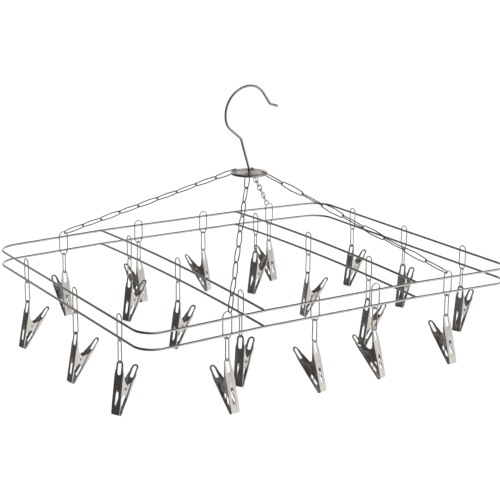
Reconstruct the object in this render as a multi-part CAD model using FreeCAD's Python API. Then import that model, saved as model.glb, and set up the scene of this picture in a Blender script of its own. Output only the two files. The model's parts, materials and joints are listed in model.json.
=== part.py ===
import FreeCAD, Part
import math
import os

# Clip drying hanger, millimetres. +Z is up and +X runs along the frame's long side.
# The origin is the point inside the hook's crown where the hanger hangs.

Vector = FreeCAD.Vector
middle = Vector(0, 0, 0)
across = Vector(0, 1, 0)
upward = Vector(0, 0, 1)

# Frame: two wire levels joined by upright loops
frame_length = 500.0        # long side, between wire centres
frame_width = 400.0         # short side, between wire centres
rail_drop = 207.8           # from the crown down to the upper level
level_gap = 18.0            # upper level to lower level
corner_radius = 25.0
frame_wire_radius = 1.4
crossbar_offset = 104.0     # each crossbar, from the middle
crossbar_arch = 4.0         # rise of a crossbar at mid span
crossbar_weld = 1.3         # how far a crossbar's end reaches into the rail
end_droop = 3.5             # how far each short side hangs below the middle bay
weld_bend_radius = 600.0    # gentle kink of the long rails at a crossbar

# Upright loops, welded to the inner side of both levels
thin_wire_radius = 0.7
loop_half_width = 5.55      # wire centres
loop_eye_half = 3.0         # narrow eye at the bottom
loop_top = 7.3              # above the upper level
loop_shoulder = 17.0        # below the upper level
loop_bottom = 23.0          # below the upper level
weld_bite = 0.15            # how far welded wires press into each other

# Hook
hook_wire_radius = 1.5
hub_drop = 103.8            # from the crown down to the hub plate's mid plane
stem_foot_drop = 106.3
stem_bend_drop = 100.3
stem_top = (-11.9, -61.4)   # where the leaning stem turns into the neck
neck_top = (-32.05, -44.7)  # where the neck turns into the bend
bend_left_radius = 33.5
bend_left_end = 188.0       # degrees round from +X
bend_right_radius = 24.0
bend_right_end = 35.0
tip_start_x = 29.5
tip_end = (39.2, -25.6)

# Hub plate and the hook's head under it
hub_radius = 22.5
hub_sheet = 1.0
hub_rim_depth = 2.6
hub_edge_radius = 1.2
hub_slot_inner = 13.4
hub_slot_outer = 17.9
hub_slot_half = 4.6
stem_clearance = 0.08
washer_radius = 4.2
washer_sheet = 0.8
head_radius = 3.0
seat_gap = 0.1

# Chains
chain_links = 9
chain_half_width = 3.15
chain_play = 0.1
chain_hold = 4.2            # how far the first link reaches into its slot
chain_shoulder = 3.0        # from a loop's middle to the place where the chain pulls

# Clips
link_half_width = 3.15
link_length = 26.5          # wire centres, end to end
jaw_length = 60.0
jaw_sheet = 0.8
jaw_half_angle = 13.75      # each jaw, from the clip's middle plane
lip_reach = 1.6             # from a jaw's mid plane to the clip's middle plane, at the tip
lip_play = 0.15             # half the gap between the closed lips
lip_height = 1.2
strap_height = 2.2          # above the handle slot
handle_half = 4.4
waist_half = 5.7
tip_half = 5.4
waist_low = 12.0            # above the tip
waist_high = 46.0
handle_low = 51.0
handle_slot = (2.2, 44.0, 57.8)     # half width, low and high end above the tip
spring_slot = (1.7, 10.0, 28.0)
wall_low_depth = 1.0        # a side wall, inwards from the sheet's mid plane, below the ear
wall_depth = 3.6            # at the ear's upper end
wall_top_depth = 1.4        # where the handle narrows
pivot_height = 29.0         # above the tips, along the middle plane
ear_radius = 2.8
ear_low = 20.0
ear_high = 38.0
hung_ear_face = 5.7         # outer face of the hung jaw's ears
free_ear_face = 4.8         # outer face of the free jaw's ears
pin_radius = 1.0
pin_fit = 0.02              # pin in the hung jaw's ears
pin_clearance = 0.06        # pin in the free jaw's ears
pin_head_radius = 1.8
pin_head_height = 0.5
coil_inner = 1.3
coil_outer = 2.3
coil_half = 3.2
leg_radius = 0.45
leg_inset = 0.1             # from the coil's end to its leg
leg_gap = 0.3               # between a spring's leg and the sheet that it bears on
leg_drop = 13.0

# Each clip: rail, place along it, turn about the vertical, lean of the hung jaw
clips = {
    "01": ("left_rail", 109.0, 9.2, 11.9),
    "02": ("back_rail", -159.0, 6.7, 9.3),
    "03": ("left_rail", -29.0, 7.0, 10.7),
    "04": ("left_rail", -140.0, 27.0, 10.6),
    "05": ("left_crossbar", 123.0, 21.0, 9.5),
    "06": ("back_rail", -50.0, 12.8, 11.7),
    "07": ("left_crossbar", -4.0, 18.5, 10.8),
    "08": ("back_rail", 50.0, 26.9, 10.3),
    "09": ("front_rail", -150.0, 5.8, 15.9),
    "10": ("left_crossbar", -147.5, 32.0, 6.5),
    "11": ("right_crossbar", 145.0, 26.0, 12.0),
    "12": ("back_rail", 158.0, 8.7, 13.6),
    "13": ("right_crossbar", 18.0, -3.2, 8.2),
    "14": ("front_rail", -37.0, 17.9, 14.6),
    "15": ("right_rail", 121.0, 13.4, 10.2),
    "16": ("right_crossbar", -111.0, 6.5, 9.5),
    "17": ("front_rail", 46.0, 19.7, 14.2),
    "18": ("right_rail", 5.0, 25.0, 8.0),
    "19": ("front_rail", 152.0, 2.0, 16.5),
    "20": ("right_rail", -113.0, 20.0, 7.5),
}
chained_clips = {"02": "back_left", "09": "front_left", "12": "back_right", "19": "front_right"}

half_length = frame_length / 2
half_width = frame_width / 2


def rail_height(x):
    """Height of the upper level's long rails at x."""
    outside = max(0.0, abs(x) - crossbar_offset)
    return -rail_drop - end_droop * outside / (half_length - crossbar_offset)


def crossbar_height(y):
    return -rail_drop + crossbar_arch * (1 - (y / half_width) ** 2)


def tube(path, radius, start, direction):
    """A round wire swept along a path that leaves a start point in a direction."""
    ring = Part.Wire([Part.makeCircle(radius, start, direction)])
    return path.makePipeShell([ring], True, True)


def corner_arc(before, corner, after, radius):
    """Start, middle and end of the arc that rounds one corner of a path."""
    back = (before - corner).normalize()
    forth = (after - corner).normalize()
    half_turn = back.getAngle(forth) / 2
    reach = radius / math.tan(half_turn)
    bisector = (back + forth).normalize()
    top = corner + bisector * (radius / math.sin(half_turn) - radius)
    return corner + back * reach, top, corner + forth * reach


def run(start, end):
    """A straight edge, or nothing where two arcs meet."""
    return [Part.makeLine(start, end)] if (end - start).Length > 1e-4 else []


def open_edges(points, radii):
    """Straight runs joined by tangent arcs at the inner points."""
    edges = []
    here = points[0]
    for index in range(1, len(points) - 1):
        arc = corner_arc(points[index - 1], points[index], points[index + 1], radii[index - 1])
        edges += run(here, arc[0])
        edges.append(Part.Arc(*arc).toShape())
        here = arc[2]
    return edges + run(here, points[-1])


def closed_wire(points, radii, wire_radius):
    """A closed ring of round wire whose corners are tangent arcs."""
    count = len(points)
    arcs = []
    for index in range(count):
        following = points[(index + 1) % count]
        arcs.append(corner_arc(points[index - 1], points[index], following, radii[index]))
    edges = []
    for index in range(count):
        edges += run(arcs[index - 1][2], arcs[index][0])
        edges.append(Part.Arc(*arcs[index]).toShape())
    start = arcs[-1][2]
    return tube(Part.Wire(edges), wire_radius, start, arcs[0][0] - start)


def upright_ring(outline, radii):
    """A ring of thin wire in the XZ plane, from the right half of its outline."""
    right = [Vector(x, 0, z) for x, z in outline]
    left = [Vector(-x, 0, z) for x, z in reversed(outline)]
    return closed_wire(right + left, radii + radii[::-1], thin_wire_radius)


def long_link(half, length, top):
    """A straight-sided link whose wire centres reach from top down by length."""
    round_end = half - 0.02
    return upright_ring([(half, top), (half, top - length)], [round_end, round_end])


def turned(shape, axis, degrees):
    moved = shape.copy()
    moved.rotate(middle, axis, degrees)
    return moved


def moved_to(shape, place):
    moved = shape.copy()
    moved.translate(place)
    return moved


# Rails and crossbars

def rail_loop(level):
    corners = [
        (crossbar_offset, -half_width), (half_length, -half_width),
        (half_length, half_width), (crossbar_offset, half_width),
        (-crossbar_offset, half_width), (-half_length, half_width),
        (-half_length, -half_width), (-crossbar_offset, -half_width),
    ]
    points = [Vector(x, y, rail_height(x) - level * level_gap) for x, y in corners]
    radii = [corner_radius if abs(x) > crossbar_offset else weld_bend_radius for x, y in corners]
    return closed_wire(points, radii, frame_wire_radius)


def crossbar(side, level):
    x = side * crossbar_offset
    reach = half_width - frame_wire_radius + crossbar_weld
    points = [Vector(x, y, crossbar_height(y) - level * level_gap) for y in (-reach, 0, reach)]
    curve = Part.Arc(*points)
    direction = curve.tangent(curve.FirstParameter)[0]
    return tube(Part.Wire([curve.toShape()]), frame_wire_radius, points[0], direction)


# Upright loops

beside_rail = frame_wire_radius + thin_wire_radius - weld_bite


def loop_place(rail, along):
    """The loop's middle at the upper level, and the turn of its plane."""
    if rail == "front_rail":
        return Vector(along, beside_rail - half_width, rail_height(along)), 0.0
    if rail == "back_rail":
        return Vector(along, half_width - beside_rail, rail_height(along)), 0.0
    if rail == "left_rail":
        return Vector(beside_rail - half_length, along, rail_height(half_length)), 90.0
    if rail == "right_rail":
        return Vector(half_length - beside_rail, along, rail_height(half_length)), 90.0
    side = -1 if rail == "left_crossbar" else 1
    return Vector(side * (crossbar_offset - beside_rail), along, crossbar_height(along)), 90.0


def upright_loop():
    outline = [(loop_half_width, loop_top), (loop_half_width, -loop_shoulder),
               (loop_eye_half, -loop_bottom)]
    return upright_ring(outline, [5.5, 3.0, 2.4])


# Hook, and the washer and head under the hub plate

def hook_wire():
    crown = hook_wire_radius
    left_centre = Vector(0, 0, crown - bend_left_radius)
    right_centre = Vector(0, 0, crown - bend_right_radius)

    def on_bend(centre, radius, degrees):
        angle = math.radians(degrees)
        return centre + Vector(math.cos(angle), 0, math.sin(angle)) * radius

    entry = on_bend(left_centre, bend_left_radius, bend_left_end)
    top = Vector(0, 0, crown)
    leave = on_bend(right_centre, bend_right_radius, bend_right_end)
    end_angle = math.radians(bend_right_end)
    slope = Vector(math.sin(end_angle), 0, -math.cos(end_angle))
    tip_start = leave + slope * ((tip_start_x - leave.x) / slope.x)
    tip = Vector(tip_end[0], 0, tip_end[1])
    foot = Vector(0, 0, -stem_foot_drop)
    stem_points = [foot, Vector(0, 0, -stem_bend_drop), Vector(stem_top[0], 0, stem_top[1]),
                   Vector(neck_top[0], 0, neck_top[1]), entry]
    edges = open_edges(stem_points, [14.0, 7.0, 19.0])
    left_middle = on_bend(left_centre, bend_left_radius, (90 + bend_left_end) / 2)
    right_middle = on_bend(right_centre, bend_right_radius, (90 + bend_right_end) / 2)
    edges.append(Part.Arc(entry, left_middle, top).toShape())
    edges.append(Part.Arc(top, right_middle, leave).toShape())
    edges += open_edges([leave, tip_start, tip], [3.5])
    wire = tube(Part.Wire(edges), hook_wire_radius, foot, upward)
    return wire.fuse(Part.makeSphere(hook_wire_radius, tip)).removeSplitter()


def hook_head():
    """A washer that carries the hub plate, and the upset head that holds it."""
    washer_top = -hub_drop - hub_sheet / 2 - seat_gap
    washer_foot = Vector(0, 0, washer_top - washer_sheet)
    washer = Part.makeCylinder(washer_radius, washer_sheet, washer_foot)
    washer = washer.cut(Part.makeCylinder(hook_wire_radius, washer_sheet, washer_foot))
    head_foot = -stem_foot_drop - 0.6
    head = Part.makeCylinder(head_radius, washer_foot.z - head_foot, Vector(0, 0, head_foot))
    rim = [edge for edge in head.Edges if abs(edge.CenterOfMass.z - head_foot) < 1e-6]
    head = head.makeFillet(0.5, rim)
    socket = Part.makeCylinder(hook_wire_radius, 10, Vector(0, 0, -stem_foot_drop))
    return Part.makeCompound([washer, head.cut(socket)])


# Hub plate

def chain_angle(clip_number):
    place, _ = loop_place(*clips[clip_number][:2])
    return math.degrees(math.atan2(place.y, place.x))


def hub_plate():
    top = -hub_drop + hub_sheet / 2
    bottom = top - hub_rim_depth
    plate = Part.makeCylinder(hub_radius, hub_rim_depth, Vector(0, 0, bottom))
    rim = [edge for edge in plate.Edges if abs(edge.CenterOfMass.z - top) < 1e-6]
    plate = plate.makeFillet(hub_edge_radius, rim)
    plate = plate.cut(Part.makeCylinder(hub_radius - hub_sheet, hub_rim_depth - hub_sheet,
                                        Vector(0, 0, bottom)))
    plate = plate.cut(Part.makeCylinder(hook_wire_radius + stem_clearance, hub_rim_depth,
                                        Vector(0, 0, bottom)))
    end_radius = (hub_slot_outer - hub_slot_inner) / 2
    straight = hub_slot_half - end_radius
    slot = Part.makeBox(2 * end_radius, 2 * straight, hub_rim_depth,
                        Vector(hub_slot_inner, -straight, bottom))
    for y in (-straight, straight):
        end = Vector(hub_slot_inner + end_radius, y, bottom)
        slot = slot.fuse(Part.makeCylinder(end_radius, hub_rim_depth, end))
    for number in chained_clips:
        plate = plate.cut(turned(slot, upward, chain_angle(number)))
    return plate


# Chains, from the hub plate's slots to the tops of four loops

def chain(clip_number):
    place, _ = loop_place(*clips[clip_number][:2])
    angle = math.radians(chain_angle(clip_number))
    strip_middle = (hub_slot_outer + hub_radius) / 2
    start = Vector(strip_middle * math.cos(angle), strip_middle * math.sin(angle),
                   -hub_drop - 0.4)
    rise = loop_top - 5.5 + math.sqrt(5.5 ** 2 - chain_shoulder ** 2)
    end = place + Vector(-math.copysign(chain_shoulder, place.x), 0, rise)
    line = end - start
    overlap = 2 * thin_wire_radius + chain_play
    strung = line.Length + chain_hold + overlap + (chain_links - 1) * overlap
    length = strung / chain_links
    along = Vector(line).normalize()
    level = Vector(-along.y, along.x, 0).normalize()
    upright = level.cross(along)
    link = long_link(chain_half_width, length, length / 2)
    links = []
    for number in range(chain_links):
        side = upright if number % 2 == 0 else level
        normal = along.cross(side)
        centre = start + along * (length / 2 - chain_hold + number * (length - overlap))
        links.append(placed(link, side, normal, along, centre))
    return Part.makeCompound(links)


def placed(shape, x_axis, y_axis, z_axis, origin):
    matrix = FreeCAD.Matrix(x_axis.x, y_axis.x, z_axis.x, origin.x,
                            x_axis.y, y_axis.y, z_axis.y, origin.y,
                            x_axis.z, y_axis.z, z_axis.z, origin.z)
    moved = shape.copy()
    moved.Placement = FreeCAD.Placement(matrix)
    return moved


# Clips. A jaw stands upright: its sheet is on x = 0, its inside faces +X, and the
# origin is the middle of the link wire that runs through its handle slot.

jaw_top = strap_height + thin_wire_radius + chain_play
jaw_tip = jaw_top - jaw_length
half_angle = math.radians(jaw_half_angle)
pivot_x = lip_reach + pivot_height * math.sin(half_angle)
pivot_z = jaw_tip + pivot_height * math.cos(half_angle)


def sideways_pin(radius, low, high):
    """A cylinder along the clip's pivot, between two distances from its middle."""
    return Part.makeCylinder(radius, high - low, Vector(pivot_x, low, pivot_z), across)


def oval_cutter(half, low, high):
    depth = 2 * jaw_sheet
    cutter = Part.makeBox(depth, 2 * half, high - low - 2 * half,
                          Vector(-jaw_sheet, -half, jaw_tip + low + half))
    for z in (low + half, high - half):
        round_end = Vector(-jaw_sheet, 0, jaw_tip + z)
        cutter = cutter.fuse(Part.makeCylinder(half, depth, round_end, Vector(1, 0, 0)))
    return cutter


def jaw(ear_face, hole_radius):
    back = -jaw_sheet / 2
    outline = [(tip_half, 0), (waist_half, waist_low), (waist_half, waist_high),
               (handle_half, handle_low), (handle_half, jaw_length - handle_half)]
    points = [Vector(back, y, jaw_tip + z) for y, z in outline]
    points += [Vector(back, -y, jaw_tip + z) for y, z in reversed(outline)]
    sheet = Part.Face(Part.makePolygon(points + points[:1])).extrude(Vector(jaw_sheet, 0, 0))
    round_top = Vector(back, 0, jaw_top - handle_half)
    sheet = sheet.fuse(Part.makeCylinder(handle_half, jaw_sheet, round_top, Vector(1, 0, 0)))
    sheet = sheet.cut(oval_cutter(*handle_slot)).cut(oval_cutter(*spring_slot))
    lip_depth = lip_reach - lip_play - back
    body = sheet.fuse(Part.makeBox(lip_depth, 2 * tip_half, lip_height,
                                   Vector(back, -tip_half, jaw_tip)))
    for side in (-1, 1):
        wall_face = waist_half - jaw_sheet if side > 0 else -waist_half
        wall_outline = [
            Vector(0, wall_face, jaw_tip + waist_low),
            Vector(wall_low_depth, wall_face, jaw_tip + waist_low + 1),
            Vector(wall_low_depth, wall_face, jaw_tip + ear_low),
            Vector(wall_depth, wall_face, jaw_tip + ear_high),
            Vector(wall_top_depth, wall_face, jaw_tip + waist_high),
            Vector(0, wall_face, jaw_tip + waist_high),
        ]
        wall = Part.Face(Part.makePolygon(wall_outline + wall_outline[:1]))
        body = body.fuse(wall.extrude(Vector(0, jaw_sheet, 0)))
        inner_face = ear_face - jaw_sheet if side > 0 else -ear_face
        ear_outline = [
            Vector(0, inner_face, jaw_tip + ear_low),
            Vector(0, inner_face, jaw_tip + ear_high),
            Vector(pivot_x, inner_face, pivot_z + ear_radius),
            Vector(pivot_x, inner_face, pivot_z - ear_radius),
        ]
        ear = Part.Face(Part.makePolygon(ear_outline + ear_outline[:1]))
        body = body.fuse(ear.extrude(Vector(0, jaw_sheet, 0)))
        body = body.fuse(sideways_pin(ear_radius, inner_face, inner_face + jaw_sheet))
    return body.cut(sideways_pin(hole_radius, -ear_face, ear_face)).removeSplitter()


def pivot_pin():
    head_face = hung_ear_face + 0.02
    pin = sideways_pin(pin_radius, -head_face, head_face)
    for side in (-1, 1):
        near = side * head_face
        far = side * (head_face + pin_head_height)
        pin = pin.fuse(sideways_pin(pin_head_radius, min(near, far), max(near, far)))
    return pin


def clip_spring():
    """A coil round the pin, with a leg down the inside of each jaw."""
    spring = sideways_pin(coil_outer, -coil_half, coil_half)
    for side in (-1, 1):
        y = side * (coil_half - leg_radius - leg_inset)
        start = Vector(pivot_x - (coil_inner + coil_outer) / 2, y, pivot_z)
        foot = Vector(jaw_sheet / 2 + leg_radius + leg_gap, y, pivot_z - leg_drop)
        if side > 0:
            start = mirrored_point(start)
            foot = mirrored_point(foot)
        spring = spring.fuse(Part.makeCylinder(leg_radius, (foot - start).Length, start,
                                               foot - start))
    return spring.cut(sideways_pin(coil_inner, -coil_half, coil_half))


tip_middle = Vector(lip_reach, 0, jaw_tip)
across_clip = Vector(math.cos(half_angle), 0, -math.sin(half_angle))


def mirrored_point(point):
    """The same point on the other side of the clip's middle plane."""
    return point - across_clip * (2 * (point - tip_middle).dot(across_clip))


hung_jaw = jaw(hung_ear_face, pin_radius + pin_fit)
free_jaw = jaw(free_ear_face, pin_radius + pin_clearance).mirror(tip_middle, across_clip)
pin = pivot_pin()
spring = clip_spring()
short_link = long_link(link_half_width, link_length, link_length)


def clip_placement(number):
    """Where a clip's link wire lies, the turn of the clip and the lean of its jaws."""
    rail, along, turn, lean = clips[number]
    place, plane = loop_place(rail, along)
    drop = loop_bottom + link_length - 2 * thin_wire_radius - chain_play
    facing = 90.0 - plane + turn
    return place - Vector(0, 0, drop), facing, lean


def clip_parts(number):
    place, facing, lean = clip_placement(number)

    def hung(shape, tilt):
        tilted = turned(shape, across, tilt)
        return moved_to(turned(tilted, upward, facing), place)

    held = [hung(short_link, 0), hung(hung_jaw, lean), hung(pin, lean), hung(spring, lean)]
    return Part.makeCompound(held), hung(free_jaw, lean)


def build():
    nodes = {
        "hook_wire": hook_wire(),
        "hook_head": hook_head(),
        "hub_plate": hub_plate(),
        "upper_rail_loop": rail_loop(0),
        "lower_rail_loop": rail_loop(1),
        "upper_left_crossbar": crossbar(-1, 0),
        "upper_right_crossbar": crossbar(1, 0),
        "lower_left_crossbar": crossbar(-1, 1),
        "lower_right_crossbar": crossbar(1, 1),
    }
    loop = upright_loop()
    loops = {}
    for number, (rail, along, _, _) in clips.items():
        place, plane = loop_place(rail, along)
        loops.setdefault(rail, []).append(moved_to(turned(loop, upward, plane), place))
        held, free = clip_parts(number)
        nodes["clip_" + number + "_hung_jaw"] = held
        nodes["clip_" + number + "_free_jaw"] = free
    for rail, group in loops.items():
        nodes[rail + "_loops"] = Part.makeCompound(group)
    for number, name in chained_clips.items():
        nodes["chain_" + name] = chain(number)
    return nodes


nodes = build()
os.makedirs("parts", exist_ok=True)
for name, shape in nodes.items():
    shape.exportStep("parts/" + name + ".step")
print(len(nodes), "nodes written")
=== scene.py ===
import json
import random
from math import asin, atan2, cos, pi, radians, sin, sqrt, tan

import bmesh
import bpy
from mathutils import Matrix, Vector


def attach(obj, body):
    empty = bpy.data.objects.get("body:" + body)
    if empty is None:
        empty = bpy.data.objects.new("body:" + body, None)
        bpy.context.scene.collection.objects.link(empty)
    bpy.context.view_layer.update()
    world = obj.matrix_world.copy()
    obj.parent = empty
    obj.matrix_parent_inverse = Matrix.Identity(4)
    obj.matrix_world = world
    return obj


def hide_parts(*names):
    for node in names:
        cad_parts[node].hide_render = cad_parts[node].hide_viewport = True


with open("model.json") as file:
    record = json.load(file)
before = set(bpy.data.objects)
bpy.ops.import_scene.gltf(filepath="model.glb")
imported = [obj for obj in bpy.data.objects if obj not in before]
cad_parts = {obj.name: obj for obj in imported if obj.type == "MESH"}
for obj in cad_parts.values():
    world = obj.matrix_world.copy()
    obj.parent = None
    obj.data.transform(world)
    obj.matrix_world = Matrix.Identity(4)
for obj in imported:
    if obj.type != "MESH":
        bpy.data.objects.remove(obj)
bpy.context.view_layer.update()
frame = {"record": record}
mm = 0.001
curveMerge = 0.004 * mm
latheMerge = 0.002 * mm
joints = {joint["name"]: joint for joint in frame["record"]["behaviour"]["joints"]}
print("frame loaded")


# Round wire

def cornerArc(before, corner, after, radius):
    # where a rounded corner starts and ends, and its two handles
    back = (before - corner).normalized()
    forth = (after - corner).normalized()
    halfTurn = back.angle(forth) / 2
    reach = radius / tan(halfTurn)
    handle = radius * 4 / 3 * tan((pi / 2 - halfTurn) / 2)
    return corner + back * reach, corner + forth * reach, back * handle, forth * handle


def addSpline(curve, points, cornerRadii):
    # a closed path of straight runs joined by round corners
    stops = []
    count = len(points)
    for index, corner in enumerate(points):
        after = points[(index + 1) % count]
        start, end, inHandle, outHandle = cornerArc(points[index - 1], corner, after,
                                                    cornerRadii[index])
        stops.append((start, None, start - inHandle))
        stops.append((end, end - outHandle, None))
    spline = curve.splines.new("BEZIER")
    spline.bezier_points.add(len(stops) - 1)
    spline.use_cyclic_u = True
    for point, (place, leftHandle, rightHandle) in zip(spline.bezier_points, stops):
        point.co = place
        point.handle_left_type = "FREE" if leftHandle else "VECTOR"
        point.handle_right_type = "FREE" if rightHandle else "VECTOR"
        if leftHandle:
            point.handle_left = leftHandle
        if rightHandle:
            point.handle_right = rightHandle


def meshFrom(bm, name):
    mesh = bpy.data.meshes.new(name)
    bm.to_mesh(mesh)
    bm.free()
    return mesh


def newWireCurve(name, radius, roundness, steps):
    curve = bpy.data.curves.new(name, "CURVE")
    curve.dimensions = "3D"
    curve.bevel_depth = radius * mm
    curve.bevel_resolution = roundness
    curve.resolution_u = steps
    curve.use_fill_caps = True
    return curve


def curveToMesh(curve):
    holder = bpy.data.objects.new(curve.name, curve)
    bpy.context.scene.collection.objects.link(holder)
    bpy.context.view_layer.update()
    mesh = bpy.data.meshes.new_from_object(holder)
    mesh.name = curve.name
    bpy.data.objects.remove(holder)
    bpy.data.curves.remove(curve)
    bm = bmesh.new()
    bm.from_mesh(mesh)
    bmesh.ops.remove_doubles(bm, verts=bm.verts, dist=curveMerge)
    bmesh.ops.recalc_face_normals(bm, faces=bm.faces)
    bm.to_mesh(mesh)
    bm.free()
    return mesh


def wireMesh(name, points, cornerRadii, radius, steps=6, roundness=2):
    curve = newWireCurve(name, radius, roundness, steps)
    placed = [Vector(point) * mm for point in points]
    addSpline(curve, placed, [r * mm for r in cornerRadii])
    return curveToMesh(curve)


def ringMesh(name, halfOutline, cornerRadii, radius):
    # a closed wire ring in the XZ plane, from the right half of its outline
    right = [(x, 0, z) for x, z in halfOutline]
    left = [(-x, 0, z) for x, z in reversed(halfOutline)]
    return wireMesh(name, right + left, cornerRadii + cornerRadii[::-1], radius)


def joined(name, meshes):
    bm = bmesh.new()
    for mesh in meshes:
        bm.from_mesh(mesh)
    whole = meshFrom(bm, name)
    for mesh in meshes:
        bpy.data.meshes.remove(mesh)
    return whole


def lathe(name, profile, steps):
    # a closed turned piece from (radius, height) points, round Z
    bm = bmesh.new()
    corners = [bm.verts.new((r * mm, 0, z * mm)) for r, z in profile]
    edges = [bm.edges.new(pair) for pair in zip(corners, corners[1:])]
    if profile[0][0] > 0:
        edges.append(bm.edges.new((corners[-1], corners[0])))
    bmesh.ops.spin(bm, geom=corners + edges, axis=(0, 0, 1), cent=(0, 0, 0), angle=2 * pi,
                   steps=steps, use_merge=True)
    bmesh.ops.remove_doubles(bm, verts=bm.verts, dist=latheMerge)
    bmesh.ops.recalc_face_normals(bm, faces=bm.faces)
    return meshFrom(bm, name)


def beadMesh(name, centre, size):
    # a small weld bead, squashed by its three sizes
    bm = bmesh.new()
    scale = Matrix.Diagonal((size[0] * mm, size[1] * mm, size[2] * mm, 1))
    place = Matrix.Translation(Vector(centre) * mm) @ scale
    bmesh.ops.create_icosphere(bm, subdivisions=2, radius=1, matrix=place)
    return meshFrom(bm, name)


def plateMesh(name, loops, thickness, edge):
    # flat sheet with round edges: the first loop is its outline, the others are holes
    curve = bpy.data.curves.new(name, "CURVE")
    curve.dimensions = "2D"
    curve.fill_mode = "BOTH"
    curve.extrude = (thickness / 2 - edge) * mm
    curve.bevel_depth = edge * mm
    curve.bevel_resolution = 1
    curve.resolution_u = 5
    for points, cornerRadii in loops:
        placed = [Vector((x, y, 0)) * mm for x, y in points]
        addSpline(curve, placed, [r * mm for r in cornerRadii])
    return curveToMesh(curve)


def mirroredOutline(half, cornerRadii):
    points = half + [(-x, y) for x, y in reversed(half)]
    return points, cornerRadii + cornerRadii[::-1]


def ovalLoop(half, low, high):
    # a slot with round ends
    corner = half - 0.01
    return mirroredOutline([(half, low), (half, high)], [corner, corner])


def shadeByAngle(mesh):
    for polygon in mesh.polygons:
        polygon.use_smooth = True
    mesh.set_sharp_from_angle(angle=radians(32))


def rememberPlace(mesh):
    # a piece's own coordinates before it is placed, for a grain that follows it
    own = mesh.attributes.new("ownPlace", "FLOAT_VECTOR", "POINT")
    for index, vertex in enumerate(mesh.vertices):
        own.data[index].vector = vertex.co


def addPiece(name, mesh, body, nodes, material, place=None):
    rememberPlace(mesh)
    if place:
        mesh.transform(place)
        if place.determinant() < 0:
            mesh.flip_normals()
    shadeByAngle(mesh)
    mesh.materials.clear()
    mesh.materials.append(material)
    piece = bpy.data.objects.new(name, mesh)
    bpy.context.scene.collection.objects.link(piece)
    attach(piece, body)
    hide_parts(*nodes)


# Finishes

def makeGrainGroup():
    # drawn and rolled metal: streaks along one axis, soft stains, and a height from both
    group = bpy.data.node_groups.new("metalGrain", "ShaderNodeTree")
    for socketName, kind in (("Place", "NodeSocketVector"), ("Streak Scale", "NodeSocketVector"),
                             ("Stain Scale", "NodeSocketFloat")):
        group.interface.new_socket(socketName, in_out="INPUT", socket_type=kind)
    for socketName in ("Streaks", "Stains", "Height"):
        group.interface.new_socket(socketName, in_out="OUTPUT", socket_type="NodeSocketFloat")
    nodes = group.nodes
    links = group.links
    entry = nodes.new("NodeGroupInput")
    result = nodes.new("NodeGroupOutput")
    stretch = nodes.new("ShaderNodeVectorMath")
    stretch.operation = "MULTIPLY"
    links.new(entry.outputs["Place"], stretch.inputs[0])
    links.new(entry.outputs["Streak Scale"], stretch.inputs[1])
    streaks = nodes.new("ShaderNodeTexNoise")
    streaks.inputs["Scale"].default_value = 1.0
    streaks.inputs["Detail"].default_value = 4.0
    links.new(stretch.outputs[0], streaks.inputs["Vector"])
    stains = nodes.new("ShaderNodeTexNoise")
    stains.inputs["Detail"].default_value = 3.0
    links.new(entry.outputs["Place"], stains.inputs["Vector"])
    links.new(entry.outputs["Stain Scale"], stains.inputs["Scale"])
    both = nodes.new("ShaderNodeMath")
    both.operation = "MULTIPLY_ADD"
    both.inputs[1].default_value = 0.7
    links.new(streaks.outputs["Fac"], both.inputs[0])
    links.new(stains.outputs["Fac"], both.inputs[2])
    links.new(streaks.outputs["Fac"], result.inputs["Streaks"])
    links.new(stains.outputs["Fac"], result.inputs["Stains"])
    links.new(both.outputs[0], result.inputs["Height"])
    return group


grainGroup = makeGrainGroup()


def mixColours(nodes, links, factor, first, second):
    mix = nodes.new("ShaderNodeMix")
    mix.data_type = "RGBA"
    mix.inputs["A"].default_value = (*first, 1)
    mix.inputs["B"].default_value = (*second, 1)
    links.new(factor, mix.inputs["Factor"])
    return mix


def makeMetal(name, look):
    material = bpy.data.materials.new(name)
    material.use_nodes = True
    nodes = material.node_tree.nodes
    links = material.node_tree.links
    shader = nodes["Principled BSDF"]
    shader.inputs["Metallic"].default_value = 1.0
    place = nodes.new("ShaderNodeAttribute")
    place.attribute_name = "ownPlace"
    grain = nodes.new("ShaderNodeGroup")
    grain.node_tree = grainGroup
    grain.inputs["Streak Scale"].default_value = look["streakScale"]
    grain.inputs["Stain Scale"].default_value = look["stainScale"]
    links.new(place.outputs["Vector"], grain.inputs["Place"])
    colour = mixColours(nodes, links, grain.outputs["Stains"], look["dark"], look["light"])
    links.new(colour.outputs["Result"], shader.inputs["Base Color"])
    gloss = nodes.new("ShaderNodeMapRange")
    gloss.inputs["From Min"].default_value = 0.3
    gloss.inputs["From Max"].default_value = 0.7
    gloss.inputs["To Min"].default_value = look["smooth"]
    gloss.inputs["To Max"].default_value = look["rough"]
    links.new(grain.outputs["Streaks"], gloss.inputs["Value"])
    links.new(gloss.outputs["Result"], shader.inputs["Roughness"])
    bump = nodes.new("ShaderNodeBump")
    bump.inputs["Strength"].default_value = look["bump"]
    bump.inputs["Distance"].default_value = 0.05 * mm
    links.new(grain.outputs["Height"], bump.inputs["Height"])
    links.new(bump.outputs["Normal"], shader.inputs["Normal"])
    return material


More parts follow.
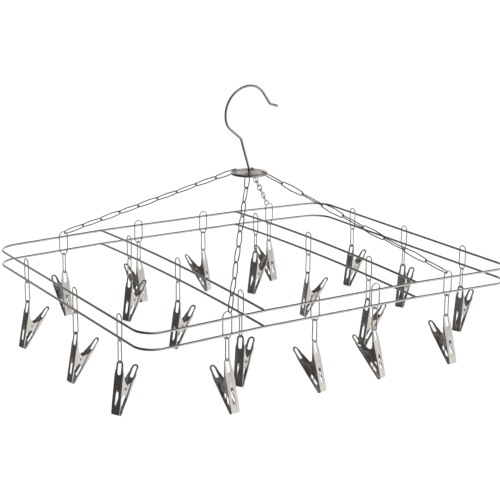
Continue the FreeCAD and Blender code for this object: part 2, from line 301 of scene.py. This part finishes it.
frameSteel = makeMetal("polishedFrameWire", {
    "dark": (0.52, 0.52, 0.52), "light": (0.72, 0.715, 0.71), "smooth": 0.14, "rough": 0.26,
    "streakScale": (900, 900, 900), "stainScale": 45, "bump": 0.15})
hookSteel = makeMetal("brightHookWire", {
    "dark": (0.30, 0.295, 0.29), "light": (0.46, 0.455, 0.45), "smooth": 0.1, "rough": 0.24,
    "streakScale": (900, 900, 160), "stainScale": 60, "bump": 0.1})
thinSteel = makeMetal("drawnThinWire", {
    "dark": (0.42, 0.42, 0.42), "light": (0.6, 0.6, 0.6), "smooth": 0.14, "rough": 0.3,
    "streakScale": (1600, 1600, 300), "stainScale": 150, "bump": 0.15})
# the chain links get a darker copy of the thin wire's finish: painted shade standing for the shade
# where the links overlap
chainSteelPaintedShade = makeMetal("chainLinkWirePaintedShade", {
    "dark": (0.30, 0.295, 0.29), "light": (0.5, 0.495, 0.49), "smooth": 0.14, "rough": 0.3,
    "streakScale": (1600, 1600, 300), "stainScale": 150, "bump": 0.15})
jawSteel = makeMetal("rolledJawSheet", {
    "dark": (0.56, 0.535, 0.515), "light": (0.82, 0.79, 0.77), "smooth": 0.2, "rough": 0.38,
    "streakScale": (2500, 2500, 120), "stainScale": 110, "bump": 0.25})
hubSteel = makeMetal("stampedHubSheet", {
    "dark": (0.26, 0.232, 0.23), "light": (0.58, 0.545, 0.54), "smooth": 0.18, "rough": 0.36,
    "streakScale": (900, 900, 900), "stainScale": 160, "bump": 0.3})
pinSteel = makeMetal("turnedPinSteel", {
    "dark": (0.5, 0.5, 0.5), "light": (0.7, 0.7, 0.7), "smooth": 0.12, "rough": 0.25,
    "streakScale": (1500, 1500, 1500), "stainScale": 200, "bump": 0.1})
# the spring's near-black colour is painted shade, standing for the shade inside the jaws' channel
# where the coil sits
springSteelPaintedShade = makeMetal("coiledSpringPaintedShade", {
    "dark": (0.1, 0.095, 0.09), "light": (0.22, 0.215, 0.21), "smooth": 0.16, "rough": 0.3,
    "streakScale": (2500, 2500, 2500), "stainScale": 200, "bump": 0.1})
print("finishes made")


# Rails and crossbars

rails = {
    "halfLength": 250, "halfWidth": 200, "drop": 207.8, "levelGap": 18, "corner": 25,
    "wire": 1.4, "crossbarAt": 104, "arch": 4, "endDroop": 3.5, "weldBend": 600,
    "seamAt": 28, "seam": (0.7, 1.5, 1.5), "barSink": 1.2, "weldInset": 2.1,
    "weld": (1.75, 1.0, 1.45), "beside": 190,
}


def railHeight(x):
    outside = max(0, abs(x) - rails["crossbarAt"])
    span = rails["halfLength"] - rails["crossbarAt"]
    return -rails["drop"] - rails["endDroop"] * outside / span


def crossbarHeight(y):
    return -rails["drop"] + rails["arch"] * (1 - (y / rails["halfWidth"]) ** 2)


def makeRail(name, node, level):
    a, b, c = rails["halfLength"], rails["halfWidth"], rails["crossbarAt"]
    corners = [(c, -b), (a, -b), (a, b), (c, b), (-c, b), (-a, b), (-a, -b), (-c, -b)]
    points = [(x, y, railHeight(x) - level * rails["levelGap"]) for x, y in corners]
    radii = [rails["corner"] if abs(x) > c else rails["weldBend"] for x, y in corners]
    ring = wireMesh(name, points, radii, rails["wire"], steps=10, roundness=4)
    low = level * rails["levelGap"]
    seam = beadMesh(name + "Seam", (rails["seamAt"], b, -rails["drop"] - low), rails["seam"])
    addPiece(name, joined(name, [ring, seam]), "frame", [node], frameSteel)


def makeCrossbar(name, node, side, level):
    reach = rails["halfWidth"] - rails["wire"] + rails["barSink"]
    x = side * rails["crossbarAt"]
    low = level * rails["levelGap"]
    curve = newWireCurve(name, rails["wire"], 4, 16)
    spline = curve.splines.new("BEZIER")
    spline.bezier_points.add(1)
    rise = 4 / 3 * (crossbarHeight(0) - crossbarHeight(reach))
    for point, y in zip(spline.bezier_points, (-reach, reach)):
        point.co = Vector((x, y, crossbarHeight(y) - low)) * mm
        inner = Vector((x, y / 3, crossbarHeight(y) - low + rise)) * mm
        outer = Vector((x, y * 1.2, crossbarHeight(y) - low - rise / 3)) * mm
        point.handle_left = outer if y < 0 else inner
        point.handle_right = inner if y < 0 else outer
    parts = [curveToMesh(curve)]
    for y in (-rails["halfWidth"], rails["halfWidth"]):
        inward = y - (rails["weldInset"] if y > 0 else -rails["weldInset"])
        place = (x, inward, crossbarHeight(inward) - low)
        parts.append(beadMesh(name + "Weld", place, rails["weld"]))
    addPiece(name, joined(name, parts), "frame", [node], frameSteel)


makeRail("upperRail", "upper_rail_loop", 0)
makeRail("lowerRail", "lower_rail_loop", 1)
for side, sideName in ((-1, "left"), (1, "right")):
    for level, levelName in ((0, "upper"), (1, "lower")):
        makeCrossbar(f"{levelName}{sideName.title()}Crossbar",
                     f"{levelName}_{sideName}_crossbar", side, level)
print("rails and crossbars made")


# Upright loops: each clip's swing joint lies on the bottom wire of its loop

loopShape = {"wire": 0.7, "halfWidth": 5.55, "eyeHalf": 3.0, "top": 7.3, "shoulder": 17,
             "bottom": 23, "corners": [5.5, 3.0, 2.4], "lowHalf": 5.1, "weldOut": 0.75,
             "weld": (0.95, 0.75, 0.9)}
clipNumbers = sorted(name[5:7] for name in joints if name.endswith("_swing"))


def jointPlace(name):
    return Vector(joints[name]["pos_m"]) / mm


def railOf(place):
    # the node of the loop at a place, and whether the loop's plane runs along X
    if abs(place.y) > rails["beside"]:
        return ("front_rail_loops" if place.y < 0 else "back_rail_loops"), True
    if abs(place.x) > rails["beside"]:
        return ("left_rail_loops" if place.x < 0 else "right_rail_loops"), False
    return ("left_crossbar_loops" if place.x < 0 else "right_crossbar_loops"), False


def makeLoop(number):
    place = jointPlace(f"clip_{number}_swing") + Vector((0, 0, loopShape["bottom"]))
    node, alongX = railOf(place)
    outline = [(loopShape["halfWidth"], loopShape["top"]),
               (loopShape["halfWidth"], -loopShape["shoulder"]),
               (loopShape["eyeHalf"], -loopShape["bottom"])]
    parts = [ringMesh("loop", outline, loopShape["corners"], loopShape["wire"])]
    if alongX:
        towardsRail = -1 if place.y < 0 else 1
    else:
        towardsRail = -1 if place.x > 0 else 1
    out = towardsRail * loopShape["weldOut"]
    for z, half in ((0, loopShape["halfWidth"]), (-rails["levelGap"], loopShape["lowHalf"])):
        for side in (-1, 1):
            parts.append(beadMesh("weld", (side * half, out, z), loopShape["weld"]))
    turn = Matrix.Rotation(0 if alongX else pi / 2, 4, "Z")
    addPiece(f"hangingLoop{number}", joined(f"hangingLoop{number}", parts), "frame", [node],
             thinSteel, Matrix.Translation(place * mm) @ turn)


for number in clipNumbers:
    makeLoop(number)
print("hanging loops made")


# Hook

hook = {
    "wire": 1.5, "foot": -106.3, "stemBend": -100.3, "stemTop": (-11.9, -61.4),
    "neckTop": (-32.05, -44.7), "leftRadius": 33.5, "leftEnd": 188, "rightRadius": 24,
    "rightEnd": 35, "tipStartX": 29.5, "tip": (39.2, -25.6), "corners": [14, 7, 19],
    "tipCorner": 3.5, "stemPull": 0.3, "entryPull": 0.4, "tipPull": 0.35,
}


def arcStops(centreZ, radius, fromDegrees, toDegrees, pieces):
    # bezier stops along a round bend in the XZ plane, with their tangents
    turn = radians(toDegrees - fromDegrees) / pieces
    handle = 4 / 3 * tan(turn / 4) * radius
    stops = []
    for index in range(pieces + 1):
        angle = radians(fromDegrees) + turn * index
        place = Vector((cos(angle), 0, sin(angle))) * radius + Vector((0, 0, centreZ))
        tangent = Vector((-sin(angle), 0, cos(angle))) * handle
        stops.append((place, place - tangent, place + tangent))
    return stops


def makeHook():
    crown = hook["wire"]
    left = arcStops(crown - hook["leftRadius"], hook["leftRadius"], hook["leftEnd"], 90, 3)
    right = arcStops(crown - hook["rightRadius"], hook["rightRadius"], 90, hook["rightEnd"], 2)
    entry = left[0][0]
    leave = right[-1][0]
    slope = Vector((sin(radians(hook["rightEnd"])), 0, -cos(radians(hook["rightEnd"]))))
    tipStart = leave + slope * ((hook["tipStartX"] - leave.x) / slope.x)
    tip = Vector((hook["tip"][0], 0, hook["tip"][1]))
    stem = [Vector((0, 0, hook["foot"])), Vector((0, 0, hook["stemBend"])),
            Vector((hook["stemTop"][0], 0, hook["stemTop"][1])),
            Vector((hook["neckTop"][0], 0, hook["neckTop"][1])), entry]
    pull = hook["stemPull"]
    stops = [(stem[0], stem[0], stem[0].lerp(stem[1], pull))]
    for index, radius in enumerate(hook["corners"]):
        start, end, inHandle, outHandle = cornerArc(*stem[index:index + 3], radius)
        stops.append((start, start + (stem[index] - start) * pull, start - inHandle))
        stops.append((end, end - outHandle, end + (stem[index + 2] - end) * pull))
    pull = hook["entryPull"]
    stops[-1] = (stops[-1][0], stops[-1][1], stops[-1][0].lerp(entry, pull))
    stops.append((entry, entry.lerp(stops[-1][0], pull), left[0][2]))
    stops += left[1:-1]
    stops.append((left[-1][0], left[-1][1], right[0][2]))
    stops += right[1:-1]
    start, end, inHandle, outHandle = cornerArc(leave, tipStart, tip, hook["tipCorner"])
    pull = hook["tipPull"]
    stops.append((leave, right[-1][1], leave.lerp(start, pull)))
    stops.append((start, start.lerp(leave, pull), start - inHandle))
    stops.append((end, end - outHandle, end.lerp(tip, pull)))
    stops.append((tip, tip.lerp(end, pull), tip))
    curve = newWireCurve("hookWire", hook["wire"], 6, 10)
    spline = curve.splines.new("BEZIER")
    spline.bezier_points.add(len(stops) - 1)
    for point, (place, leftHandle, rightHandle) in zip(spline.bezier_points, stops):
        point.co = place * mm
        point.handle_left = leftHandle * mm
        point.handle_right = rightHandle * mm
    wire = curveToMesh(curve)
    roundEnd = beadMesh("hookEnd", tip, [hook["wire"]] * 3)
    addPiece("hookWire", joined("hookWire", [wire, roundEnd]), "hook", ["hook_wire"],
             hookSteel)


makeHook()

hubLook = {
    "radius": 22.5, "top": -103.3, "slotInner": 13.4, "slotOuter": 17.9, "slotHalf": 4.6,
    "hole": 1.58, "sheet": 1.0, "rim": 2.6,
}


def makeHookHead():
    washer = lathe("washer", [(1.5, -0.1), (1.5, -0.9), (4.05, -0.9), (4.2, -0.75), (4.2, -0.25),
                              (4.05, -0.1)], 40)
    head = lathe("head", [(0, -0.9), (2.9, -0.9), (3.0, -1.1), (3.0, -1.8), (2.6, -2.3),
                          (1.8, -2.55), (0, -2.6)], 40)
    place = Matrix.Translation((0, 0, (hubLook["top"] - hubLook["sheet"]) * mm))
    addPiece("hookWasher", washer, "hook", ["hook_head"], pinSteel, place)
    addPiece("hookHead", head, "hook", ["hook_head"], pinSteel, place)


makeHookHead()
print("hook made")


# Hub plate

chainEnds = {"back_left": (-1, 1), "back_right": (1, 1), "front_left": (-1, -1),
             "front_right": (1, -1)}


def chainLoop(signs):
    # the loop nearest to a corner of the frame carries that corner's chain
    places = [jointPlace(f"clip_{number}_swing") for number in clipNumbers]
    longSides = [place for place in places if abs(place.y) > rails["beside"]]
    return max(longSides, key=lambda place: place.x * signs[0] + place.y * signs[1])


def makeHub():
    # a dish with a turned-down rim and three shallow pressed rings
    r = hubLook["radius"]
    hole = hubLook["hole"]
    sheet = hubLook["sheet"]
    rim = -hubLook["rim"]
    rings = [(4.6, 0.0), (5.4, -0.25), (8.4, -0.25), (9.2, 0.0), (10.6, 0.0), (11.2, -0.2),
             (12.0, -0.2), (12.6, 0.0), (19.0, 0.0), (19.6, -0.2), (20.3, -0.2), (20.8, 0.0)]
    profile = [(hole, 0.0)] + rings + [
        (r - 1.1, 0.0), (r - 0.3, -0.3), (r, -1.1), (r, rim + 0.15), (r - 0.25, rim),
        (r - 0.75, rim), (r - sheet, rim + 0.15), (r - sheet, -1.4), (r - 1.5, -sheet),
        (hole, -sheet)]
    plate = lathe("hubPlate", profile, 96)
    holder = bpy.data.objects.new("hubPlate", plate)
    bpy.context.scene.collection.objects.link(holder)
    middle = (hubLook["slotInner"] + hubLook["slotOuter"]) / 2
    half = (hubLook["slotOuter"] - hubLook["slotInner"]) / 2
    for signs in chainEnds.values():
        place = chainLoop(signs)
        oval = ovalLoop(half, -hubLook["slotHalf"], hubLook["slotHalf"])
        cutter = bpy.data.objects.new("slotCutter", plateMesh("slotCutter", [oval], 6, 0.02))
        turn = Matrix.Rotation(atan2(place.y, place.x), 4, "Z")
        cutter.data.transform(turn @ Matrix.Translation((middle * mm, 0, 0)))
        bpy.context.scene.collection.objects.link(cutter)
        cut = holder.modifiers.new("slot", "BOOLEAN")
        cut.operation = "DIFFERENCE"
        cut.solver = "EXACT"
        cut.object = cutter
        bpy.context.view_layer.update()
        cutMesh = bpy.data.meshes.new_from_object(
            holder.evaluated_get(bpy.context.evaluated_depsgraph_get()))
        holder.modifiers.clear()
        holder.data = cutMesh
        bpy.data.objects.remove(cutter)
    mesh = holder.data
    bpy.data.objects.remove(holder)
    addPiece("hubPlate", mesh, "frame", ["hub_plate"], hubSteel,
             Matrix.Translation((0, 0, hubLook["top"] * mm)))


makeHub()
print("hub plate made")


# Chains

chainLook = {"links": 9, "wire": 0.7, "half": 3.45, "endHalf": 2.35, "play": 0.1, "hold": 4.2,
             "shoulder": 3.0, "twist": 45, "wander": 12, "startDrop": 0.9, "bow": 16}
random.seed(11)


def makeChain(cornerName, signs):
    loopMiddle = chainLoop(signs) + Vector((0, 0, loopShape["bottom"]))
    angle = atan2(loopMiddle.y, loopMiddle.x)
    stripMiddle = (hubLook["slotOuter"] + hubLook["radius"]) / 2
    start = Vector((stripMiddle * cos(angle), stripMiddle * sin(angle),
                    hubLook["top"] - chainLook["startDrop"]))
    corner = loopShape["corners"][0]
    rise = loopShape["top"] - corner + sqrt(corner ** 2 - chainLook["shoulder"] ** 2)
    end = loopMiddle + Vector((-signs[0] * chainLook["shoulder"], 0, rise))
    line = end - start
    count = chainLook["links"]
    overlap = 2 * chainLook["wire"] + chainLook["play"]
    length = (line.length + chainLook["hold"] + overlap * count) / count
    along = line.normalized()
    level = Vector((-along.y, along.x, 0)).normalized()
    upright = level.cross(along)
    half = chainLook["half"]
    endHalf = chainLook["endHalf"]
    outline = [(endHalf, length / 2), (half, 0), (endHalf, -length / 2)]
    radii = [endHalf - 0.1, chainLook["bow"], endHalf - 0.1]
    for index in range(count):
        link = ringMesh("link", outline, radii, chainLook["wire"])
        side = upright if index % 2 == 0 else level
        twist = chainLook["twist"] + random.uniform(-chainLook["wander"], chainLook["wander"])
        side = Matrix.Rotation(radians(twist), 3, along) @ side
        normal = along.cross(side)
        centre = start + along * (length / 2 - chainLook["hold"] + index * (length - overlap))
        place = Matrix((side, normal, along)).transposed().to_4x4()
        place.translation = centre * mm
        name = f"chain{cornerName.title().replace('_', '')}Link{index + 1}"
        link.name = name
        addPiece(name, link, "frame", ["chain_" + cornerName], chainSteelPaintedShade, place)


for cornerName, signs in chainEnds.items():
    makeChain(cornerName, signs)
print("chains made")


# Clips. A jaw stands with its sheet on x = 0 and its inside towards +X; its origin is
# the middle of the link wire in its handle slot.

jawLook = {
    "length": 60, "sheet": 0.8, "top": 3.0, "halfAngle": 13.75, "lipReach": 1.6, "edge": 0.12,
    "tipHalf": 5.4, "waistHalf": 5.7, "waistLow": 12, "waistHigh": 46, "handleHalf": 4.4,
    "handleLow": 51, "handleSlot": (2.2, 44, 57.8), "springSlot": (1.7, 10, 28),
    "wallFoot": 5, "wallLow": 1.0, "wallDepth": 3.6, "wallTop": 1.4, "wallEnd": 56,
    "pivotHeight": 29, "earRadius": 2.8, "earLow": 20, "earHigh": 38, "hungEar": 5.7,
    "freeEar": 4.8, "teeth": 9, "toothDepth": 0.4, "bend": 1.3, "bendStep": 0.35, "bendSteps": 6,
    "toothTop": 0.2, "toothRound": 0.03, "sideRounds": [40, 14, 14], "footRise": 2,
    "endCut": (0.5, 1.5), "wallRounds": [0.3, 1.5, 2.0, 1.2, 10, 0.6, 0.3], "earRounds": [2.75] * 2,
    "holeHalf": 1.05, "holeRound": 1.04, "plateGap": 0.01,
}
linkLook = {"wire": 0.7, "length": 26.5, "topHalf": 2.95, "middle": 12, "middleHalf": 2.9,
            "footHalf": 3.2, "corners": [2.85, 40, 3.1], "hang": 1.5}
tipZ = jawLook["top"] - jawLook["length"]
halfAngle = radians(jawLook["halfAngle"])
pivot = Vector((jawLook["lipReach"] + jawLook["pivotHeight"] * sin(halfAngle), 0,
                tipZ + jawLook["pivotHeight"] * cos(halfAngle)))
tipMiddle = Vector((jawLook["lipReach"], 0, tipZ))
acrossClip = Vector((cos(halfAngle), 0, -sin(halfAngle)))
upTurn = Matrix(((0, 0, 1, 0), (1, 0, 0, 0), (0, 1, 0, 0), (0, 0, 0, 1)))      # flat XY to YZ
sideTurn = Matrix(((1, 0, 0, 0), (0, 0, -1, 0), (0, 1, 0, 0), (0, 0, 0, 1)))   # flat XY to XZ


def mirrorAcrossClip():
    move = Matrix.Translation(tipMiddle * mm)
    reflect = Matrix.Identity(3)
    for row in range(3):
        for column in range(3):
            reflect[row][column] -= 2 * acrossClip[row] * acrossClip[column]
    return move @ reflect.to_4x4() @ move.inverted()


def earCorner(startX, startZ, side):
    # where the tangent from a point to the ear's round end meets the end's outer line
    toPivot = Vector((pivot.x - startX, pivot.z - tipZ - startZ))
    angle = atan2(toPivot.y, toPivot.x) + side * asin(jawLook["earRadius"] / toPivot.length)
    outer = pivot.x + jawLook["earRadius"]
    return outer, startZ + tan(angle) * (outer - startX)


def halfWidthAt(height):
    # half the sheet's width at a height over the tip's end
    look = jawLook
    if height < look["waistLow"]:
        part = max(0, height) / look["waistLow"]
        return look["tipHalf"] + (look["waistHalf"] - look["tipHalf"]) * part
    part = (height - look["waistHigh"]) / (look["handleLow"] - look["waistHigh"])
    return look["waistHalf"] + (look["handleHalf"] - look["waistHalf"]) * min(1, max(0, part))


def cutAcross(bm, heights):
    # edges across the sheet at heights over the tip's end, for the sheet to bend at
    for height in heights:
        bmesh.ops.bisect_plane(bm, geom=bm.verts[:] + bm.edges[:] + bm.faces[:],
                               plane_co=(0, 0, (tipZ + height) * mm), plane_no=(0, 0, 1))


def bendLip(mesh):
    # the tip's end is rolled inwards, and its teeth point at the other jaw
    look = jawLook
    start = look["bend"] + look["sheet"] / 2
    bm = bmesh.new()
    bm.from_mesh(mesh)
    cutAcross(bm, [start - look["bendStep"] * step for step in range(look["bendSteps"])])
    for vertex in bm.verts:
        along = start - (vertex.co.z / mm - tipZ)
        if along > 0:
            angle = min(along / look["bend"], pi / 2)
            extra = along - angle * look["bend"]
            reach = look["bend"] - vertex.co.x / mm
            vertex.co.x = (look["bend"] - reach * cos(angle) + extra) * mm
            vertex.co.z = (tipZ + start - reach * sin(angle)) * mm
    bm.to_mesh(mesh)
    bm.free()


def followSides(mesh, side):
    # a side wall leans in with the sheet's edge
    bm = bmesh.new()
    bm.from_mesh(mesh)
    cutAcross(bm, [jawLook["waistLow"], jawLook["waistHigh"], jawLook["handleLow"]])
    for vertex in bm.verts:
        inward = jawLook["waistHalf"] - halfWidthAt(vertex.co.z / mm - tipZ)
        vertex.co.y -= side * inward * mm
    bm.to_mesh(mesh)
    bm.free()


def makeSheet():
    look = jawLook
    edge = look["edge"]
    foot = look["sheet"] / 2 + look["bend"] - pi / 2 * look["bend"] + edge
    toothed = [(look["tipHalf"] - edge, foot)]
    pitch = 2 * (look["tipHalf"] - edge) / look["teeth"]
    for index in range(look["teeth"] // 2):
        right = look["tipHalf"] - edge - pitch * (index + 0.5)
        top = pitch * look["toothTop"]
        toothed += [(right + top, foot + look["toothDepth"]),
                    (right - top, foot + look["toothDepth"]), (right - pitch / 2, foot)]
    rise = [(look["waistHalf"] - edge, look["waistLow"]),
            (look["waistHalf"] - edge, look["waistHigh"]),
            (look["handleHalf"] - edge, look["handleLow"]),
            (look["handleHalf"] - edge, look["length"] - edge)]
    handleRound = look["handleHalf"] - edge - 0.02
    radii = [look["toothRound"]] * len(toothed) + look["sideRounds"] + [handleRound]
    outline = mirroredOutline(toothed[::-1] + rise, radii)
    slots = [ovalLoop(slot[0] + edge, slot[1] - edge, slot[2] + edge)
             for slot in (look["handleSlot"], look["springSlot"])]
    sheet = plateMesh("sheet", [outline] + slots, look["sheet"], edge)
    sheet.transform(Matrix.Translation((0, 0, tipZ * mm)) @ upTurn)
    bendLip(sheet)
    return sheet


def makeJaw(name, earFace):
    # the hung jaw's ears are part of its walls, and the free jaw's lie just inside its own
    look = jawLook
    parts = [makeSheet()]
    earLow = earCorner(look["wallLow"], look["earLow"], -1)
    earHigh = earCorner(look["wallDepth"], look["earHigh"], 1)
    around = look["holeHalf"]
    rise = pivot.z - tipZ
    hole = [(pivot.x - around, rise - around), (pivot.x + around, rise - around),
            (pivot.x + around, rise + around), (pivot.x - around, rise + around)]
    foot = [(0, look["wallFoot"]), (look["wallLow"], look["wallFoot"] + look["footRise"]),
            (look["wallLow"], look["earLow"])]
    top = [(look["wallDepth"], look["earHigh"]), (look["wallTop"], look["waistHigh"]),
           (look["wallTop"] - look["endCut"][0], look["wallEnd"] - look["endCut"][1]),
           (0, look["wallEnd"])]
    wallLoop = foot + top
    wallRadii = look["wallRounds"]
    earLoop = [(0, look["earLow"]), foot[2], earLow, earHigh, top[0], (0, look["earHigh"])]
    earRadii = [0.2, wallRadii[2]] + look["earRounds"] + [wallRadii[3], 0.3]
    whole = foot + [earLow, earHigh] + top
    wholeRadii = wallRadii[:3] + look["earRounds"] + wallRadii[3:]
    joinedEar = earFace == look["waistHalf"]
    for side in (-1, 1):
        if joinedEar:
            plates = [(whole, wholeRadii, True, earFace)]
        else:
            plates = [(wallLoop, wallRadii, False, look["waistHalf"]),
                      (earLoop, earRadii, True, earFace)]
        for loop, radii, pierced, face in plates:
            loops = [(loop, radii)] + ([(hole, [look["holeRound"]] * 4)] if pierced else [])
            plate = plateMesh("wall", loops, look["sheet"], look["edge"])
            middle = side * (face - look["sheet"] / 2 - look["plateGap"]) * mm
            plate.transform(Matrix.Translation((0, middle, tipZ * mm)) @ sideTurn)
            if face == look["waistHalf"]:
                followSides(plate, side)
            parts.append(plate)
    return joined(name, parts)


pinHalf = [(0, 6.5), (0.9, 6.5), (1.6, 6.3), (1.8, 5.95), (1.8, 5.72), (1.0, 5.72)]


def makePin():
    # a shank with a round head at each end, from half of its profile
    mesh = lathe("pin", [(r, -z) for r, z in pinHalf] + pinHalf[::-1], 20)
    mesh.transform(Matrix.Translation(pivot * mm) @ Matrix.Rotation(pi / 2, 4, "X"))
    return mesh


spring = {"radius": 1.75, "wire": 0.45, "turns": 5, "half": 2.65, "legDrop": 13, "perTurn": 14,
          "legGap": 0.25, "legPart": 0.85}


def makeSpring():
    # a coil round the pin, with a leg down the inside of each jaw
    reflect = mirrorAcrossClip()
    foot = Vector((jawLook["sheet"] / 2 + spring["wire"] + spring["legGap"], -spring["half"],
                   pivot.z - spring["legDrop"]))
    farFoot = reflect @ (Vector((foot.x, spring["half"], foot.z)) * mm) / mm
    first = pi
    last = first + 2 * pi * spring["turns"] - 2 * halfAngle
    coilStart = Vector((pivot.x - spring["radius"], -spring["half"], pivot.z))
    points = [foot, foot.lerp(coilStart, spring["legPart"])]
    count = spring["turns"] * spring["perTurn"]
    for index in range(count + 1):
        part = index / count
        angle = first - (last - first) * part
        points.append(Vector((pivot.x + spring["radius"] * cos(angle),
                              spring["half"] * (2 * part - 1),
                              pivot.z + spring["radius"] * sin(angle))))
    points += [farFoot.lerp(points[-1], spring["legPart"]), farFoot]
    curve = newWireCurve("spring", spring["wire"], 1, 2)
    line = curve.splines.new("NURBS")
    line.points.add(len(points) - 1)
    for point, place in zip(line.points, points):
        point.co = (*(place * mm), 1)
    line.use_endpoint_u = True
    line.order_u = 3
    return curveToMesh(curve)


def makeClips():
    reflect = mirrorAcrossClip()
    hungJaw = makeJaw("hungJaw", jawLook["hungEar"])
    freeJaw = makeJaw("freeJaw", jawLook["freeEar"])
    pin = makePin()
    coil = makeSpring()
    outline = [(linkLook["topHalf"], linkLook["length"]),
               (linkLook["middleHalf"], linkLook["middle"]), (linkLook["footHalf"], 0)]
    link = ringMesh("shortLink", outline, linkLook["corners"], linkLook["wire"])
    for number in clipNumbers:
        hang = jointPlace(f"clip_{number}_swing")
        width = Vector(joints[f"clip_{number}_swing"]["axis"])
        out = Vector((width.y, -width.x, 0))
        linkFoot = hang - Vector((0, 0, linkLook["length"] - linkLook["hang"]))
        pivotPlace = jointPlace(f"jaw_{number}_opening") - linkFoot
        lean = atan2(pivot.x, -pivot.z) - atan2(pivotPlace.dot(out), -pivotPlace.z)
        upright = Matrix((out, width, Vector((0, 0, 1)))).transposed().to_4x4()
        upright.translation = linkFoot * mm
        leaning = upright @ Matrix.Rotation(lean, 4, "Y")
        body = f"clip_{number}"
        hungNode = f"clip_{number}_hung_jaw"
        for pieceName, mesh, slotName, metal, place in (
                ("HungJaw", hungJaw, "clip_sheet", jawSteel, leaning),
                ("Pin", pin, "pin_steel", pinSteel, leaning),
                ("Spring", coil, "thin_wire", springSteelPaintedShade, leaning),
                ("ShortLink", link, "thin_wire", thinSteel, upright)):
            addPiece(f"clip{number}{pieceName}", mesh.copy(), body, [hungNode], metal,
                     place)
        addPiece(f"clip{number}FreeJaw", freeJaw.copy(), f"jaw_{number}",
                 [f"clip_{number}_free_jaw"], jawSteel, leaning @ reflect)


makeClips()
print("clips made")


# Camera, floor and light

view = {"place": (-0.8444, -1.3472, 0.2323), "azimuth": -32.142, "pitch": 15.270, "roll": 0.447,
        "lens": 96.17}
studio = {
    "seen": (0.96, 0.96, 0.96), "bright": (1.0, 0.98, 0.95), "dark": (0.068, 0.067, 0.069),
    "darkX": -0.75, "brightX": 0.5, "ceilingLow": 0.25, "ceilingHigh": 0.55, "sky": 3.3,
    "skySpread": 120, "top": 7, "topPlace": (-0.3, -0.4, 2.2), "topSize": (1.4, 1.4),
    "floorDrop": 1.3, "floorHalf": 60, "floorGrey": 0.93, "floorRough": 0.9,
}


def makeCamera():
    yaw = radians(view["azimuth"])
    pitch = radians(view["pitch"])
    roll = radians(view["roll"])
    back = Vector((sin(yaw) * cos(pitch), -cos(yaw) * cos(pitch), sin(pitch)))
    right = Vector((0, 0, 1)).cross(back).normalized()
    up = back.cross(right)
    turnedRight = right * cos(roll) + up * sin(roll)
    turnedUp = up * cos(roll) - right * sin(roll)
    data = bpy.data.cameras.new("camera")
    data.lens = view["lens"]
    data.sensor_width = 36
    data.clip_end = 200
    camera = bpy.data.objects.new("camera", data)
    camera.matrix_world = Matrix((turnedRight, turnedUp, back)).transposed().to_4x4()
    camera.location = view["place"]
    bpy.context.scene.collection.objects.link(camera)
    bpy.context.scene.camera = camera


def makeFloor():
    bm = bmesh.new()
    bmesh.ops.create_grid(bm, x_segments=1, y_segments=1, size=studio["floorHalf"],
                          matrix=Matrix.Translation((0, 0, -studio["floorDrop"])))
    mesh = meshFrom(bm, "floor")
    material = bpy.data.materials.new("paleFloor")
    material.use_nodes = True
    shader = material.node_tree.nodes["Principled BSDF"]
    shader.inputs["Base Color"].default_value = (*[studio["floorGrey"]] * 3, 1)
    shader.inputs["Roughness"].default_value = studio["floorRough"]
    mesh.materials.append(material)
    floor = bpy.data.objects.new("floor", mesh)
    floor.visible_glossy = False
    bpy.context.scene.collection.objects.link(floor)


def makeTopLight():
    # a soft light over the hanger, turned to its hook's crown
    data = bpy.data.lights.new("topLight", "AREA")
    data.shape = "RECTANGLE"
    data.size, data.size_y = studio["topSize"]
    data.energy = studio["top"]
    light = bpy.data.objects.new("topLight", data)
    light.location = studio["topPlace"]
    light.rotation_euler = (-Vector(studio["topPlace"])).to_track_quat("-Z", "Y").to_euler()
    bpy.context.scene.collection.objects.link(light)


def makeRamp(nodes, links, value, low, high):
    # 0 at the first limit and 1 at the second, with a soft change
    ramp = nodes.new("ShaderNodeMapRange")
    ramp.interpolation_type = "SMOOTHSTEP"
    ramp.inputs["From Min"].default_value = low
    ramp.inputs["From Max"].default_value = high
    links.new(value, ramp.inputs["Value"])
    return ramp.outputs["Result"]


def makeStudio():
    # one side of the studio is bright, and the other side and the ceiling are dark
    world = bpy.data.worlds.new("studio")
    world.use_nodes = True
    nodes = world.node_tree.nodes
    links = world.node_tree.links
    background = nodes["Background"]
    direction = nodes.new("ShaderNodeTexCoord")
    split = nodes.new("ShaderNodeSeparateXYZ")
    links.new(direction.outputs["Generated"], split.inputs[0])
    across = makeRamp(nodes, links, split.outputs["X"], studio["darkX"], studio["brightX"])
    below = makeRamp(nodes, links, split.outputs["Z"], studio["ceilingHigh"], studio["ceilingLow"])
    both = nodes.new("ShaderNodeMath")
    both.operation = "MULTIPLY"
    links.new(across, both.inputs[0])
    links.new(below, both.inputs[1])
    walls = mixColours(nodes, links, both.outputs[0], studio["dark"], studio["bright"])
    ray = nodes.new("ShaderNodeLightPath")
    seen = mixColours(nodes, links, ray.outputs["Is Camera Ray"], studio["dark"], studio["seen"])
    links.new(walls.outputs["Result"], seen.inputs["A"])
    links.new(seen.outputs["Result"], background.inputs["Color"])
    bpy.context.scene.world = world
    bpy.context.scene.view_settings.view_transform = "Standard"
    makeTopLight()
    skyData = bpy.data.lights.new("skyLight", "SUN")
    skyData.energy = studio["sky"]
    skyData.angle = radians(studio["skySpread"])
    sky = bpy.data.objects.new("skyLight", skyData)
    sky.visible_glossy = False
    bpy.context.scene.collection.objects.link(sky)


makeCamera()
makeFloor()
makeStudio()
print("camera, floor and light made")
